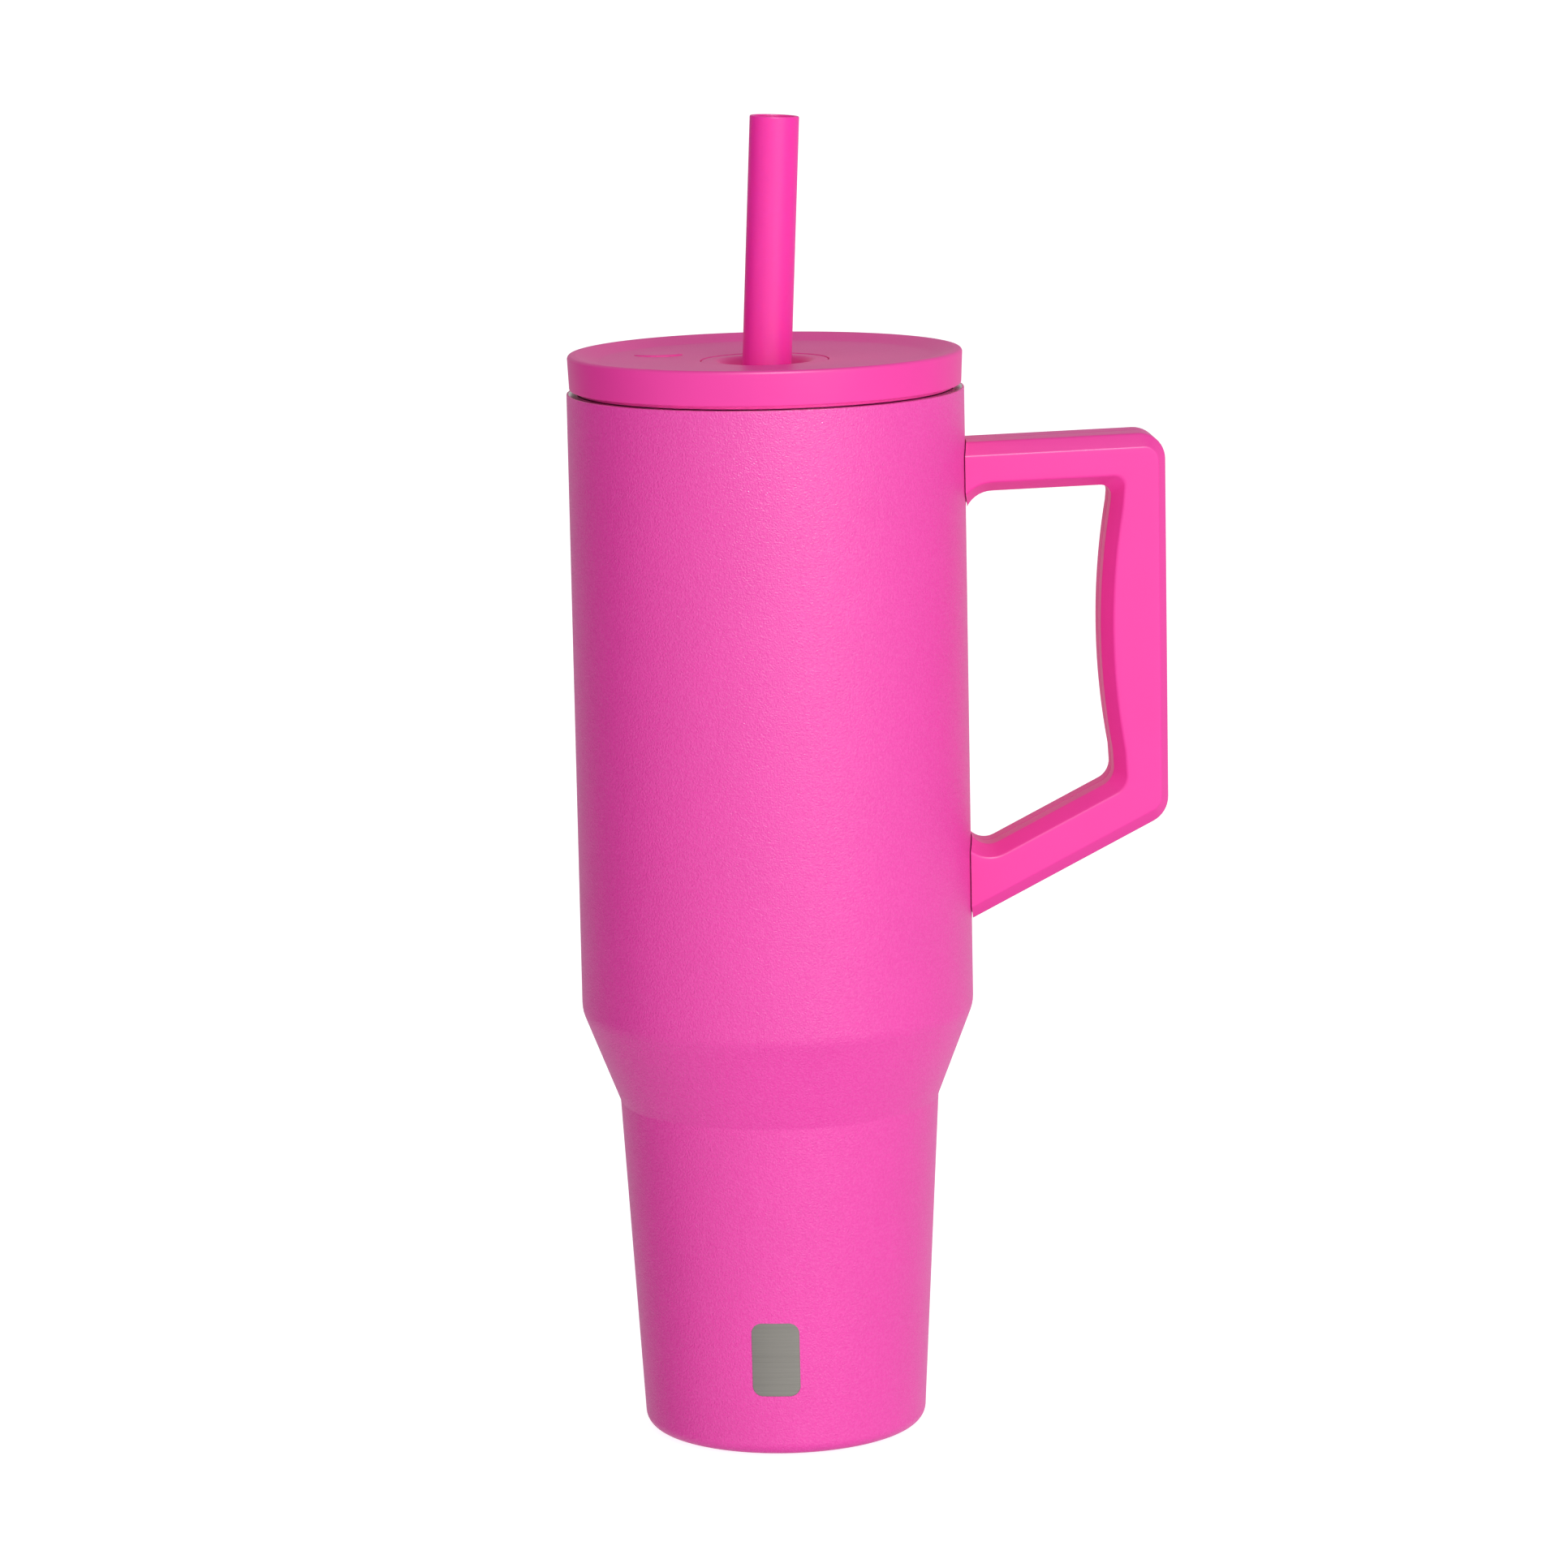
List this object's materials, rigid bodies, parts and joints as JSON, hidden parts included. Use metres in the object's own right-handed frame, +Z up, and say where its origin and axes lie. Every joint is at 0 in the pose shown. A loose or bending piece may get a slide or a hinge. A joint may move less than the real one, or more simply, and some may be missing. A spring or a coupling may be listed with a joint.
{
  "type": "insulated tumbler",
  "caption": "Double-wall insulated tumbler with a tapered foot, an angular side handle, a push-in lid with a dished top and a tall drinking straw.",
  "frame": {"origin": "centre of the base pad's underside, on the surface that the tumbler stands on", "axes": "+Z up along the vessel's axis, +X towards the handle's grip, -Y towards the front of the tumbler"},
  "size_m": [0.1466, 0.0976, 0.3285],
  "materials": {
    "powder_coat": "satin powder coat with a very fine orange-peel grain",
    "moulded_plastic": "satin moulded plastic, colour matched to the coat",
    "straw_plastic": "smooth semi-gloss",
    "silicone": "matte silicone",
    "bare_steel": "brushed stainless steel",
    "screw_steel": "plain machined steel",
    "getter_metal": "pressed dark metal powder"
  },
  "bodies": {
    "vessel": {"outer_wall": "powder_coat", "inner_wall": "bare_steel", "outer_base": "bare_steel", "getter": "getter_metal", "vacuum_plug": "bare_steel", "base_pad": "silicone", "handle_front_shell": "moulded_plastic", "handle_back_shell": "moulded_plastic", "handle_upper_bracket": "bare_steel", "handle_lower_bracket": "bare_steel", "handle_screw_1": "screw_steel", "handle_screw_2": "screw_steel", "handle_screw_3": "screw_steel", "handle_screw_4": "screw_steel"},
    "gasket": {"lid_gasket": "silicone"},
    "lid": {"lid_shell": "moulded_plastic", "lid_plug": "moulded_plastic", "straw_collar": "moulded_plastic"},
    "seal": {"straw_seal": "silicone"},
    "straw": {"straw_tube": "straw_plastic", "straw_stopper": "silicone"}
  },
  "joints": [
    {"name": "lid_lift", "type": "slide", "parent": "vessel", "child": "gasket", "axis": [0, 0, 1], "range_m": [0, 0.1]},
    {"name": "lid_turn", "type": "hinge", "parent": "gasket", "child": "lid", "pos_m": [0, 0, 0.2548], "axis": [0, 0, 1], "continuous": true},
    {"name": "straw_tilt", "type": "hinge", "parent": "lid", "child": "seal", "pos_m": [0, 0, 0.257], "axis": [0, 1, 0], "range_deg": [-6.3, 0.5]},
    {"name": "straw_slide", "type": "slide", "parent": "seal", "child": "straw", "axis": [0.0506, 0, 0.9987], "range_m": [0, 0.211]}
  ]
}
